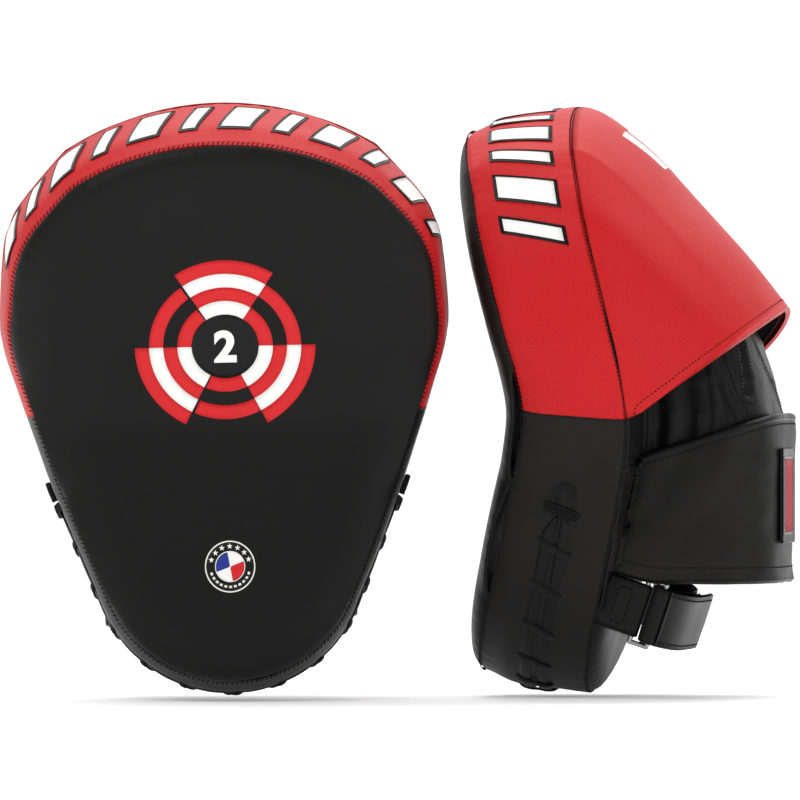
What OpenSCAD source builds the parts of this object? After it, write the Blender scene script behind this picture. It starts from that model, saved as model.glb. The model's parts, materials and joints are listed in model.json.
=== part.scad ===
// A pair of curved boxing focus mitts. Each mitt is a bent padded disc with a hood, a half glove,
// a wrist cuff, a ring-and-tab wrist strap and a laced slit round its lower edge.
// Each mitt is drawn in its own frame: x across, y from the strike face to the hand, z up,
// with z = 0 at its lowest tip. Then it is set in its place in the pair.

/* [Pad] */
// Height of a pad, tip to top
pad_h = 265; // [255:1:275]
// Width of a pad at its widest
pad_w = 201; // [190:1:205]
// Depth of the side wall, from the face seam to the back seam
wall_depth = 47; // [44:1:50]
// Depth of the knee: how far the face seam is from the foremost point there
knee_y = 34.6; // [30:0.2:38]
// Height of the knee
knee_z = 127; // [115:1:135]
// Slope of the face on each side of the knee
face_bend = 0.27; // [0.2:0.01:0.3]
// How much further the face's top edge curls forward
top_curl = 3.6; // [0:0.2:5]
// Slope of the back on each side of the knee
back_bend = 0.276; // [0.2:0.002:0.3]
// How much wider the outline gets for each mm of depth
side_taper = 0.0007; // [0:0.0001:0.001]
// How much taller the outline gets for each mm of depth, as the wall is square to the bent face
end_taper = 0.0012; // [0:0.0001:0.002]
// How far the padded face stands out past its seam
crown = 11; // [6:0.5:12]
// Thickness of the leather
leather = 2; // [1.6:0.1:2.2]
// Depth of the soft foam behind the face seam
soft_foam = 12; // [8:1:16]

/* [Target] */
// Height of the target's centre
target_z = 160; // [150:0.5:170]
// Radius of the disc that holds the digit
target_core = 14.9; // [12:0.1:16]
// Width of each ring
ring_step = 6.3; // [5:0.1:6.5]
// Height of the round badge
badge_z = 62.2; // [55:0.2:75]
// Radius of the round badge
badge_r = 11.2; // [8:0.1:13]

/* [Hood and glove] */
// Height where red leather meets black leather at the face seam
border_z = 126.7; // [120:0.1:130]
// Height of the hood's rear peak
peak_z = 174; // [165:1:180]
// Depth of the hood's rear peak
peak_y = 143; // [138:1:145]
// Thickness of the hood
hood_t = 3; // [2:0.5:3]
// Outer radius of a finger stall
stall_r = 11; // [10:0.5:11]
// Distance between neighbouring finger stalls
stall_pitch = 22.3; // [22.2:0.1:22.5]
// Depth of the cuff's rear
cuff_y = 143; // [142:1:147]
// Half width of the cuff
cuff_half = 58; // [57:1:60]
// Height of the cuff's lower edge
cuff_z = 55.5; // [52:0.5:56]

/* [Strap] */
// Width of the wrist strap
strap_w = 25; // [20:1:26]
// Thickness of the wrist strap
strap_t = 2.5; // [2:0.1:2.6]
// Thickness of the hook patch and of the loop patch
pile_t = 2.3; // [2:0.1:2.3]
// Radius of the ring's wire
wire_r = 1.2; // [0.8:0.1:1.3]

/* [Pair] */
// How far the right mitt's top tips forward, in degrees
tip = 9; // [0:1:15]
// How far the right mitt is turned, in degrees
turn = 1; // [0:1:4]
// How far the right mitt leans sideways, in degrees
roll = -1.3; // [-3:0.1:3]
// How far the left mitt is turned to show its side, in degrees
side_turn = -99; // [-100:1:-90]
// Place of the left mitt's grip from the right mitt's grip, across
pair_x = 219; // [205:1:240]
// Place of the left mitt's grip from the right mitt's grip, in depth
pair_y = -6; // [-20:1:20]
// Place of the left mitt's grip from the right mitt's grip, in height
pair_z = -10.8; // [-20:0.1:0]

/* [Hidden] */
SIDES = ["left", "right"];
PIECES = [
    "strike_cover", "face_foam", "foam_core", "red_band", "black_band", "back_cover",
    "seam_thread", "target_red", "target_white", "badge", "band_print", "lace_lips", "laces",
    "pull_loop_inner", "pull_loop_outer", "hood", "hood_lining", "finger_stalls", "thumb_stall",
    "hand_back", "palm_ball", "cuff", "cuff_binding", "cuff_label", "strap_tab", "strap_ring",
    "wrist_strap", "loop_patch", "strap_flap", "hook_patch"
];
$fn = 48;

half_w = pad_w / 2;
far = 400;
gap = 0.1;
// Play under what is sewn across the back panel's bend
ease = 0.9;
// The grip's centre: the origin of each mitt once it is in its place
grip = [0, 108, 100];
back_knee_z = knee_z - 4;
// The face's top edge curls forward above this height
curl_z = 225;
back_seam_y = knee_y + wall_depth;
border_slope = -0.077;
top_r = 126;
top_half_deg = 32;
// The outline is wrapped round these circles: x, z and radius, from the tip up
tip_r = 62;
belly = [30, 110, 52];
flank = [half_w - 72.5, 169, 72.5];
shoulder = [half_w - 60.5, pad_h - 77, 58.5];
crest_r = 24;
crest = [
    (top_r - crest_r) * sin(top_half_deg),
    pad_h - top_r + (top_r - crest_r) * cos(top_half_deg),
    crest_r
];
circles = concat(
    [[0, tip_r, tip_r]],
    [for (c = [belly, flank, shoulder, crest]) for (s = [-1, 1]) [s * c[0], c[1], c[2]]]
);
// The outline above has its full width and its full height at these depths
full_width_y = 75;
full_height_y = 50;
// The outline is drawn between these depths
front_y = -30;
rear_y = 100;
stations = [for (z = -12; z <= 288; z = z + 12) z];
inks = 0.4;
hem_steps = 20;
hood_rows = 6;
arch_steps = 16;
strap_origin = [0, 66.5, 43];
strap_lean = -18.5;
// The strap's middle line is an arch of this half width and depth
strap_half = 56;
strap_deep = 29;
strap_start = 36.6;
strap_end = 176;
fold_in = 2.4;
rung_gap = 20.5;
top_rung_s = 121;
loop_s = 130.5;
lip_t = 1.6;
lace_t = 1.4;

// ---- outline and depth of the pad ----

// How far a bent surface has come away from its knee at a height
function away(z, zk, r) = sqrt(pow(z - zk, 2) + r * r) - r;
function face_y(z) =
    knee_y - face_bend * away(z, knee_z, 10) - top_curl * pow(max(0, (z - curl_z) / 40), 2);
function back_y(z) = back_seam_y - back_bend * away(z, back_knee_z, 25);

// How far a circle of the outline reaches in a direction
function reach(c, a) = c[0] * cos(a) + c[1] * sin(a) + c[2];
function widest(a, i = 0, best = 0) =
    i == len(circles) ? best
    : widest(a, i + 1, reach(circles[i], a) > reach(circles[best], a) ? i : best);
// The outline's point whose outward direction is a, moved out by grow
function rim(a, grow = 0) =
    abs(a - 90) <= top_half_deg
    ? [0, pad_h - top_r] + (top_r + grow) * [cos(a), sin(a)]
    : let (c = circles[widest(a)]) [c[0], c[1]] + (c[2] + grow) * [cos(a), sin(a)];

// The outline's size at a depth, across and in height
function spread(y) = [1 + side_taper * (y - full_width_y), 1 + end_taper * (y - full_height_y)];
// Where a point of the outline is at a depth
function at_depth(p, y) = [p[0] * spread(y)[0], knee_z + (p[1] - knee_z) * spread(y)[1]];

// The pad's outline drawn through the whole depth
module body(grow = 0) {
    front = spread(front_y);
    rear = spread(rear_y);
    translate([0, rear_y, knee_z])
        rotate([90, 0, 0])
            linear_extrude(
                height = rear_y - front_y,
                scale = [front[0] / rear[0], front[1] / rear[1]],
                slices = 1
            )
                polygon([for (a = [-90 : 5 : 265]) at_depth(rim(a, grow), rear_y) - [0, knee_z]]);
}

// A side profile (y, z) drawn across the whole width
module across(points) {
    rotate([90, 0, 90])
        linear_extrude(height = far, center = true)
            polygon(points);
}

// A front outline (x, z) drawn through the whole depth
module through() {
    rotate([90, 0, 0])
        linear_extrude(height = 2 * far, center = true)
            children();
}

// A surface of the pad: t = 0 is the face seam's, t = 1 the back seam's, moved back by d
function surface_y(z, t, d) = (1 - t) * face_y(z) + t * back_y(z) + d;
function profile(t0, d0, t1, d1) = concat(
    [for (z = stations) [surface_y(z, t0, d0), z]],
    [for (i = [len(stations) - 1 : -1 : 0]) [surface_y(stations[i], t1, d1), stations[i]]]
);

module layer(grow, t0, d0, t1, d1) {
    intersection() {
        body(grow);
        across(profile(t0, d0, t1, d1));
    }
}

// A skin of thickness t wrapped round the pad's edge, between two surfaces of the pad
module edge_skin(out, t, t0, d0, t1, d1) {
    intersection() {
        difference() {
            body(out + t);
            body(out);
        }
        across(profile(t0, d0, t1, d1));
    }
}

// ---- pad ----

module crown_block(skin, below) {
    layer(-0.4 - skin, 0, -crown / 2 + skin, 0, below);
    layer(-9 - skin, 0, -crown + skin, 0, below);
}

module strike_cover() {
    color([0.13, 0.13, 0.13])
        difference() {
            crown_block(0, 0);
            crown_block(leather, 1);
        }
}

module face_foam() {
    color("gainsboro") crown_block(leather + gap, soft_foam);
}

module foam_core() {
    color("dimgray") layer(-leather - 0.5, 0, soft_foam + gap, 1, -gap);
}

module above_border(up) {
    reach_z = up ? far : -far;
    across([
        [-far, border_z - border_slope * (far + knee_y)],
        [far, border_z + border_slope * (far - knee_y)],
        [far, reach_z],
        [-far, reach_z]
    ]);
}

module red_band() {
    color([0.8, 0.15, 0.16])
        intersection() {
            edge_skin(-leather, leather, 0, 0, 1, 0);
            above_border(true);
        }
}

module black_band() {
    color([0.13, 0.13, 0.13])
        intersection() {
            edge_skin(-leather, leather, 0, 0, 1, 0);
            above_border(false);
        }
}

// The back panel, with the padded swell below the wrist
module back_cover() {
    color([0.15, 0.15, 0.15]) {
        layer(0, 1, 0, 1, leather);
        intersection() {
            layer(-12, 1, leather / 2, 1, leather + 3);
            translate([-far / 2, -far / 2, -1]) cube([far, far, 45]);
        }
    }
}

// Overlock stitches along the face seam and the back seam
module seam_thread() {
    color([0.6, 0.1, 0.1]) {
        edge_skin(0, 0.8, 0, 0, 0, 2.2);
        edge_skin(0, 0.8, 1, -2.2, 1, 0);
    }
}

// ---- prints on the face ----

module sector(from, to, r) {
    polygon(concat([[0, 0]], [for (i = [0 : 4]) 2 * r * [
        cos(from + (to - from) * i / 4),
        sin(from + (to - from) * i / 4)
    ]]));
}

module ring_arc(r0, r1, from, to) {
    intersection() {
        difference() {
            circle(r = r1);
            circle(r = r0);
        }
        sector(from, to, r1);
    }
}

module on_face(z) {
    intersection() {
        through() translate([0, z]) children();
        across(profile(0, -crown - inks, 0, -crown));
    }
}

// Ring number n, counted from the core; the three wide sectors reach one ring further
module target_arcs(wide, n) {
    r0 = target_core + (n - 1) * ring_step;
    starts = wide ? [57, 180, 297] : [0, 125, 245];
    spans = wide ? [66, 63, 63] : [57, 55, 52];
    for (i = [0 : 2]) ring_arc(r0, r0 + ring_step, starts[i], starts[i] + spans[i]);
}

module target_red() {
    color([0.8, 0.15, 0.16])
        on_face(target_z) {
            target_arcs(true, 4);
            target_arcs(true, 2);
            target_arcs(false, 3);
            target_arcs(false, 1);
        }
}

module digit_one() {
    translate([-2, -8]) square([4.6, 16]);
    translate([-5.4, 3.4]) square([4, 3.6]);
}

module digit_two() {
    translate([-6.6, -8]) square([13.2, 3.4]);
    polygon([[-6.6, -4.8], [-1.6, -4.8], [6.4, 2.2], [2.2, 3.4]]);
    translate([0, 2.4]) difference() {
        circle(r = 6.2);
        circle(r = 2.6);
        translate([-8, -8]) square([16, 7.4]);
    }
}

module target_white(digit) {
    color("white")
        on_face(target_z) {
            target_arcs(true, 3);
            target_arcs(true, 1);
            if (digit == 1) digit_one();
            else digit_two();
        }
}

module badge() {
    color("white")
        on_face(badge_z) {
            difference() {
                circle(r = badge_r);
                circle(r = badge_r - 0.8);
            }
            circle(r = badge_r * 0.62);
            for (a = [0 : 30 : 330])
                rotate(a) translate([badge_r * 0.79, 0]) circle(r = 0.8, $fn = 5);
        }
}

// Slanted bars round the top of the red band
module band_print() {
    color("white")
        intersection() {
            edge_skin(0, inks, 0, 10, 1, -14);
            union() for (a = [-50 : 12.5 : 50])
                translate([0, 0, pad_h - top_r])
                    rotate([0, a, 12])
                        translate([-4.5, 0, 0]) cube([9, far, far]);
        }
}

// ---- lacing ----

// A point along the lower outline at a length from the tip, and its outward direction
flank_deg = -21.8;
flank_from = tip_r * (90 + flank_deg) * PI / 180;
function lace_deg(s) = max(-90, min(flank_deg, -90 + s / tip_r * 180 / PI));
function lace_point(s) =
    let (run = max(0, s - flank_from), a = lace_deg(s))
    [0, tip_r] + tip_r * [cos(a), sin(a)] + run * [-sin(a), cos(a)];

// Stands children on the side wall at a length s from the tip, x outward
module on_lace_line(side, s) {
    mid_y = surface_y(lace_point(s)[1], 0.5, 0);
    p = at_depth(lace_point(s), mid_y);
    translate([side * p[0], mid_y, p[1]])
        mirror([side < 0 ? 1 : 0, 0, 0])
            rotate([0, -lace_deg(s), 0])
                children();
}

// Two puffed lips, one on each side of the slit
module lace_lips() {
    color([0.13, 0.13, 0.13])
        intersection() {
            union() {
                edge_skin(0, lip_t, 0.5, -7, 0.5, -1);
                edge_skin(0, lip_t, 0.5, 1, 0.5, 7);
            }
            translate([-far / 2, -far / 2, -10]) cube([far, far, 90]);
        }
}

module rung(long, wide) {
    rotate([30, 0, 0])
        translate([-far / 8, -long / 2, -wide / 2])
            cube([far / 4, long, wide]);
}

module laces() {
    color([0.1, 0.1, 0.1])
        intersection() {
            union() {
                for (side = [-1, 1]) {
                    for (n = [1 : 5]) on_lace_line(side, n * rung_gap) rung(17, 4);
                    on_lace_line(side, top_rung_s) rung(20, 4.6);
                }
                on_lace_line(1, 0) rung(17, 4);
            }
            edge_skin(lip_t, lace_t, 0, 0, 1, 0);
        }
}

// A flat loop of webbing that hangs over the top rung
module pull_loop(side) {
    color([0.1, 0.1, 0.1])
        on_lace_line(side, loop_s)
            translate([0.6, 0, 0])
                rotate([90, 0, 90])
                    linear_extrude(height = 2)
                        difference() {
                            union() {
                                circle(r = 5.2);
                                translate([-5.2, -1.4]) square([10.4, 1.4]);
                            }
                            circle(r = 2.9);
                            translate([-far, -far - 1.4]) square([2 * far, far]);
                        }
}

// ---- shells made from two grids of points ----

// Joins an outer grid and an inner grid, both rows of points, into one closed shell
module shell(outer, inner) {
    rows = len(outer);
    cols = len(outer[0]);
    n = rows * cols;
    points = [for (g = [outer, inner]) for (r = g) for (p = r) p];
    function at(g, r, c) = g * n + r * cols + c;
    skins = [
        for (r = [0 : rows - 2]) for (c = [0 : cols - 2]) for (g = [0, 1])
            g == 0
            ? [at(0, r, c), at(0, r, c + 1), at(0, r + 1, c + 1), at(0, r + 1, c)]
            : [at(1, r, c), at(1, r + 1, c), at(1, r + 1, c + 1), at(1, r, c + 1)]
    ];
    ends = [
        for (c = [0 : cols - 2]) for (r = [0, rows - 1])
            r == 0
            ? [at(0, r, c + 1), at(0, r, c), at(1, r, c), at(1, r, c + 1)]
            : [at(0, r, c), at(0, r, c + 1), at(1, r, c + 1), at(1, r, c)]
    ];
    sides = [
        for (r = [0 : rows - 2]) for (c = [0, cols - 1])
            c == 0
            ? [at(0, r, c), at(0, r + 1, c), at(1, r + 1, c), at(1, r, c)]
            : [at(0, r + 1, c), at(0, r, c), at(1, r, c), at(1, r + 1, c)]
    ];
    polyhedron(points, concat(skins, ends, sides), convexity = 6);
}

// ---- hood ----

hood_from = border_z + border_slope * wall_depth + 1;
function edge_x(z) =
    let (a = rim(-17), b = rim(-15), f = (z - a[1]) / (b[1] - a[1]))
    a[0] + f * (b[0] - a[0]);
// Where the hood is sewn on: along the back seam from one side over the top to the other
function sewn(i, inset) =
    let (
        last = i == 0 || i == hem_steps,
        a = -15 + (i - 1) * 210 / (hem_steps - 2),
        flat = last ? [(i == 0 ? 1 : -1) * (edge_x(hood_from) - inset), hood_from] : rim(a, -inset),
        p = at_depth(flat, back_y(flat[1]))
    )
    [p[0], back_y(p[1]) + leather + ease, p[1]];
// The free hem: an arch that climbs from each side to the rear peak
function hem(i, inset) =
    let (
        a = 180 * i / hem_steps,
        half = edge_x(hood_from) - inset,
        y0 = back_y(hood_from) + leather + 4 + gap
    )
    [half * cos(a), y0 + (peak_y - inset - y0) * sin(a),
     hood_from + 2 + (peak_z - hood_from - 2) * (0.85 * sin(a) + 0.15 * (1 - abs(cos(a))))];
function hood_point(i, v, inset) =
    let (a = 180 * i / hem_steps, lift = (20 * v * (1 - v) + 48 * v * pow(1 - v, 4)) * sin(a))
    (1 - v) * sewn(i, inset) + v * hem(i, inset) + lift * [0.5 * cos(a), 0.7, 0.6 * sin(a)];
function hood_grid(inset) =
    [for (r = [0 : hood_rows]) [for (i = [0 : hem_steps]) hood_point(i, r / hood_rows, inset)]];

module hood() {
    color([0.8, 0.15, 0.16]) shell(hood_grid(0), hood_grid(hood_t));
}

module hood_lining() {
    color([0.1, 0.1, 0.1]) shell(hood_grid(hood_t + gap), hood_grid(hood_t + 0.9));
}

// ---- glove ----

// An arch round the hand: half width, front and rear depth, height, squareness
function arch_point(a, half, y0, y1, z, n) = [
    half * sign(cos(a)) * pow(abs(cos(a)), 2 / n),
    y0 + (y1 - y0) * pow(abs(sin(a)), 2 / n),
    z
];
function arch_deg(j) = 180 * j / arch_steps;

// The glove's panel over the back of the hand
hand_rows = [[112, 52, 138], [126, 52, 138], [142, 52, 134.5], [157, 51, 129.5], [168, 50, 124.5]];
function hand_grid(inset) = [for (r = hand_rows) [
    for (j = [0 : arch_steps])
        arch_point(arch_deg(j), r[1] - inset, back_y(r[0]) + leather + ease, r[2] - inset, r[0], 4)
]];

module hand_back() {
    color([0.12, 0.12, 0.12]) shell(hand_grid(0), hand_grid(2.2));
}

// A closed tube for one finger, its mouth at z = 0
module stall(r, t, long) {
    difference() {
        union() {
            cylinder(r = r, h = long);
            translate([0, 0, long]) sphere(r = r);
        }
        translate([0, 0, -1]) cylinder(r = r - t, h = long + 1);
        translate([0, 0, long]) sphere(r = r - t);
    }
}

// Little finger to first finger
stall_long = [40, 56, 60, 48];
module finger_stalls() {
    color([0.1, 0.1, 0.1])
        for (i = [0 : 3])
            translate([(1.5 - i) * stall_pitch, 115 - 3 * abs(i - 1.5), 142])
                rotate([24, 0, 0])
                    stall(stall_r, 1.4, stall_long[i]);
}

thumb_r = 10.8;
module thumb_stall() {
    color([0.1, 0.1, 0.1])
        translate([-70, back_seam_y + leather + thumb_r + gap, 96])
            stall(thumb_r, 1.5, 18);
}

// The dome that the palm closes on: the part of a ball that stands out of the back panel
dome_r = 30;
dome_y = 72;
dome_z = 92;
dome_lean = 12.2;
dome_foot = (back_y(dome_z) + leather + gap - dome_y) * cos(dome_lean);
module palm_ball() {
    color([0.12, 0.12, 0.12])
        translate([0, dome_y, dome_z])
            rotate([-90 - dome_lean, 0, 0])
                rotate_extrude()
                    intersection() {
                        circle(r = dome_r);
                        translate([0, dome_foot]) square(far);
                    }
}

// ---- cuff ----

cuff_top_front = 104.5;
cuff_top_rear = 124;
function cuff_top(y) =
    cuff_top_front + (cuff_top_rear - cuff_top_front) * (y - back_seam_y) / (cuff_y - back_seam_y);
function cuff_point(a, inset, z, f) =
    let (
        p = arch_point(a, cuff_half - inset, back_y(z) + leather + gap, cuff_y - inset, z, 4),
        top = cuff_top(p[1])
    )
    [p[0], p[1], z + f * (top - z)];
function cuff_grid(inset, v0, v1, rows) = [for (r = [0 : rows]) [
    for (j = [0 : arch_steps]) cuff_point(arch_deg(j), inset, cuff_z, v0 + (v1 - v0) * r / rows)
]];
// The foot of each end follows the back panel
function cuff_fit(grid) = [for (r = grid) [
    for (p = r) [p[0], max(p[1], back_y(p[2]) + leather + gap), p[2]]
]];

module cuff() {
    color([0.14, 0.14, 0.14])
        shell(cuff_fit(cuff_grid(0, 0, 1, 4)), cuff_fit(cuff_grid(3.8, 0, 1, 4)));
}

module cuff_binding() {
    color([0.1, 0.1, 0.1])
        shell(cuff_fit(cuff_grid(-1, 0.87, 0.99, 1)), cuff_fit(cuff_grid(-gap, 0.87, 0.99, 1)));
}

module cuff_label() {
    color([0.6, 0.12, 0.13])
        translate([-13, cuff_y + gap, 69]) cube([42, 1.2, 40]);
}

// ---- strap, in a frame of its own that leans with the lower pad ----

module strap_frame() {
    translate(strap_origin)
        rotate([strap_lean, 0, 0])
            children();
}

function strap_point(a) = [
    strap_half * sign(cos(a)) * pow(abs(cos(a)), 2 / 3.6),
    strap_deep * pow(abs(sin(a)), 2 / 3.6)
];
function strap_dir(a) = let (d = strap_point(a + 0.5) - strap_point(a - 0.5)) d / norm(d);
function strap_out(a) = [strap_dir(a)[1], -strap_dir(a)[0]];
function strap_run(from, to) = [for (i = [0 : 24]) from + (to - from) * i / 24];

// One face of the strap, at a distance from its middle line
function strap_side(from, to, d) = [for (a = strap_run(from, to)) strap_point(a) + d * strap_out(a)];

// A band of the strap between two distances from its middle line
module band_of(from, to, d0, d1, wide) {
    linear_extrude(height = wide, center = true)
        polygon(concat(strap_side(from, to, d0), strap_side(to, from, d1)));
}

bar = strap_point(strap_start) + (strap_t / 2 + fold_in + gap) * strap_out(strap_start);
bar_deg = atan2(strap_out(strap_start)[1], strap_out(strap_start)[0]);
flap_d0 = strap_t / 2 + 2 * (fold_in + gap);

// The fold that holds the ring's outer bar, at a radius round the bar
function fold_arc(r, from, to) = [
    for (i = [0 : 14])
        let (q = bar_deg + from + (to - from) * i / 14)
        bar + r * [cos(q), sin(q)]
];
// The strap's sewn end goes straight down into the pad
strap_leg = [[-strap_half + strap_t / 2, -8], [-strap_half - strap_t / 2, -8]];

module wrist_strap() {
    color([0.12, 0.12, 0.12])
        difference() {
            strap_frame()
                linear_extrude(height = strap_w, center = true)
                    polygon(concat(
                        strap_side(strap_start, strap_end, -strap_t / 2),
                        strap_leg,
                        strap_side(strap_end, strap_start, strap_t / 2),
                        fold_arc(fold_in + gap, 192, 360),
                        fold_arc(fold_in + gap + strap_t, 360, 192)
                    ));
            across(profile(0, -far / 4, 1, leather + gap));
        }
}

module loop_patch() {
    color([0.2, 0.2, 0.2])
        strap_frame()
            band_of(62, 112, strap_t / 2 + gap / 2, strap_t / 2 + gap / 2 + pile_t, strap_w - 4);
}

module hook_patch() {
    color([0.25, 0.25, 0.25])
        strap_frame()
            band_of(62, 103, flap_d0 - gap / 2 - pile_t, flap_d0 - gap / 2, strap_w - 4);
}

module strap_flap() {
    color([0.12, 0.12, 0.12])
        strap_frame()
            band_of(strap_start + 0.3, 106, flap_d0, flap_d0 + strap_t, strap_w);
}

ring_long = 8;
ring_in = bar - ring_long * [0, 1];
ring_h = strap_w + 4;
module strap_ring() {
    color("silver")
        strap_frame() {
            for (p = [bar, ring_in])
                translate([p[0], p[1], -ring_h / 2]) {
                    cylinder(r = wire_r, h = ring_h);
                    sphere(r = wire_r);
                    translate([0, 0, ring_h]) sphere(r = wire_r);
                }
            for (z = [-ring_h / 2, ring_h / 2])
                translate([bar[0], ring_in[1], z])
                    rotate([-90, 0, 0])
                        cylinder(r = wire_r, h = ring_long);
        }
}

tab_w = 23;
tab_t = 4.4;
module strap_tab() {
    color([0.12, 0.12, 0.12])
        difference() {
            strap_frame() difference() {
                translate([ring_in[0] - tab_t / 2, -8, -tab_w / 2])
                    cube([tab_t, ring_in[1] + 8 + tab_t / 2, tab_w]);
                translate([ring_in[0], ring_in[1], -far / 2])
                    cylinder(r = wire_r + gap / 2, h = far);
            }
            across(profile(0, -far / 4, 1, leather + gap));
        }
}

// ---- places ----

// Pieces drawn for the left hand, turned over for the right hand
module handed(side) {
    mirror([side == "right" ? 1 : 0, 0, 0]) children();
}

module placed(side) {
    if (side == "right")
        rotate([tip, roll, turn]) translate(-grip) children();
    else
        translate([pair_x, pair_y, pair_z]) rotate([0, 0, side_turn]) translate(-grip) children();
}

module piece(name, side) {
    if (name == "strike_cover") strike_cover();
    if (name == "face_foam") face_foam();
    if (name == "foam_core") foam_core();
    if (name == "red_band") red_band();
    if (name == "black_band") black_band();
    if (name == "back_cover") back_cover();
    if (name == "seam_thread") seam_thread();
    if (name == "target_red") target_red();
    if (name == "target_white") target_white(side == "left" ? 1 : 2);
    if (name == "badge") badge();
    if (name == "band_print") band_print();
    if (name == "lace_lips") lace_lips();
    if (name == "laces") laces();
    if (name == "pull_loop_inner") pull_loop(-1);
    if (name == "pull_loop_outer") pull_loop(1);
    if (name == "hood") hood();
    if (name == "hood_lining") hood_lining();
    if (name == "palm_ball") palm_ball();
    if (name == "hand_back") hand_back();
    if (name == "cuff") cuff();
    if (name == "cuff_binding") cuff_binding();
    if (name == "finger_stalls") handed(side) finger_stalls();
    if (name == "thumb_stall") handed(side) thumb_stall();
    if (name == "cuff_label") handed(side) cuff_label();
    if (name == "strap_tab") handed(side) strap_tab();
    if (name == "strap_ring") handed(side) strap_ring();
    if (name == "wrist_strap") handed(side) wrist_strap();
    if (name == "loop_patch") handed(side) loop_patch();
    if (name == "strap_flap") handed(side) strap_flap();
    if (name == "hook_patch") handed(side) hook_patch();
}

for (side = SIDES) for (name = PIECES)
    placed(side) piece(name, side);
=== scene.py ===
"""The looks of a pair of curved boxing focus mitts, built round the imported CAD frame.

Every piece is drawn in a mitt's own frame, in millimetres, as the CAD is: x across, y from the
strike face to the hand, z up from the lowest tip. place() then sets it on its grip, in metres.
"""

import json
import math

import bpy
import numpy as np
from mathutils import Matrix, Vector, noise


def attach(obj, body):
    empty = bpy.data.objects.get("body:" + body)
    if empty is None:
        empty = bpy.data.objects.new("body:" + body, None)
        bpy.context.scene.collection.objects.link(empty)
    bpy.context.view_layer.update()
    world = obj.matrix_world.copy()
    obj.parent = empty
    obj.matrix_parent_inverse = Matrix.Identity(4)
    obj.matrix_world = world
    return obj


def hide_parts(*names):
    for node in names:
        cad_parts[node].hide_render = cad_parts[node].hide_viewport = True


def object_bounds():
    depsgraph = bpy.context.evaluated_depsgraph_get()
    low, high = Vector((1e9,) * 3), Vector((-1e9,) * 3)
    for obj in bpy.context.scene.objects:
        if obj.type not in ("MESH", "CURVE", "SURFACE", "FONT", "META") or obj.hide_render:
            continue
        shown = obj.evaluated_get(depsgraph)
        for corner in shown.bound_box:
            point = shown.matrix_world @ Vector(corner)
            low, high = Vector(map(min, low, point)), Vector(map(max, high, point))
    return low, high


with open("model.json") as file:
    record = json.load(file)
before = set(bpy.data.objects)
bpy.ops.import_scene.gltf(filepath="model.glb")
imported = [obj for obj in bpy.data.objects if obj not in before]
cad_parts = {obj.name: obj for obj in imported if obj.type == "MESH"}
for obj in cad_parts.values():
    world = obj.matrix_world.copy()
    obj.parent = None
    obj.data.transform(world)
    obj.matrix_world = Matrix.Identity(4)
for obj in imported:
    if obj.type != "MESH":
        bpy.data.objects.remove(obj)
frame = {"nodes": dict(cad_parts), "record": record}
cad_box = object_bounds()
grips = {m["name"]: Vector(m["pos_m"]) for m in frame["record"]["mounts"]}

# ---- the pair, as the CAD sets it ----

MM = 0.001
GRIP = Vector((0, 108, 100))
# Degrees about x, y and z: the left mitt is seen from its side, the right one tips back a little
TURNED = {"left": (0, 0, -99), "right": (9, -1.3, 1)}


def place(side):
    """From a mitt's own frame in millimetres to the row frame in metres."""
    x, y, z = (Matrix.Rotation(math.radians(d), 4, n) for d, n in zip(TURNED[side], "XYZ"))
    to_mm = Matrix.Scale(MM, 4) @ Matrix.Translation(-GRIP)
    return Matrix.Translation(grips[side + "_grip"]) @ z @ y @ x @ to_mm


PLACE = {side: np.array(place(side)) for side in TURNED}

# ---- the pad's outline and depth ----

PAD_H, HALF_W, TIP_R = 265, 100.5, 62
TOP_R, TOP_DEG = 126, 31
KNEE_Y, KNEE_Z, WALL = 34.6, 127, 47
FACE_BEND, BACK_BEND = 0.27, 0.276
TOP_CURL, CURL_Z = 3.6, 225
CROWN = 11
SIDE_TAPER, END_TAPER = 0.0007, 0.0012
FULL_WIDTH_Y, FULL_HEIGHT_Y = 75, 50
CREST_R = 38
CREST = (
    (TOP_R - CREST_R) * math.sin(math.radians(TOP_DEG)),
    PAD_H - TOP_R + (TOP_R - CREST_R) * math.cos(math.radians(TOP_DEG)),
    CREST_R,
)
WAIST, FLANK, SHOULDER = (30, 110, 52), (HALF_W - 72.5, 169, 72.5), (HALF_W - 58.5, PAD_H - 76, 57)
# The circles, as x, z and radius, round which the outline is drawn
ROUNDS = [(0, TIP_R, TIP_R)] + [
    (sign * x, z, r) for x, z, r in (WAIST, FLANK, SHOULDER, CREST) for sign in (-1, 1)
]


def away(z, knee, r):
    """The distance from the knee's height, rounded off near it."""
    return np.sqrt((z - knee) ** 2 + r * r) - r


def face_y(z):
    return KNEE_Y - FACE_BEND * away(z, KNEE_Z, 10) - TOP_CURL * (np.clip(z - CURL_Z, 0, None) / 40) ** 2


def back_y(z):
    return KNEE_Y + WALL - BACK_BEND * away(z, KNEE_Z - 4, 25)


def unit(d):
    return d / np.maximum(np.linalg.norm(d, axis=-1, keepdims=True), 1e-9)


def lengths(points):
    """How far along a line each of its points is."""
    return np.concatenate([[0], np.cumsum(np.linalg.norm(np.diff(points, axis=0), axis=1))])


def picked(q, at, points):
    """The points of a line at the distances q, where at says how far along its own points are."""
    return np.stack([np.interp(q, at, points[:, k]) for k in range(points.shape[1])], -1)


def evenly(values, points, count):
    """The values that space the points they belong to evenly."""
    at = lengths(points)
    return np.interp(np.linspace(0, at[-1], count), at, values)


def outline_point(deg):
    """The outline's point, as x and z, where it faces a direction."""
    d = np.array((math.cos(math.radians(deg)), math.sin(math.radians(deg))))
    if abs(deg - 90) <= TOP_DEG:
        return np.array((0, PAD_H - TOP_R)) + TOP_R * d
    x, z, r = max(ROUNDS, key=lambda c: c[0] * d[0] + c[1] * d[1] + c[2])
    return np.array((x, z)) + r * d


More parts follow.
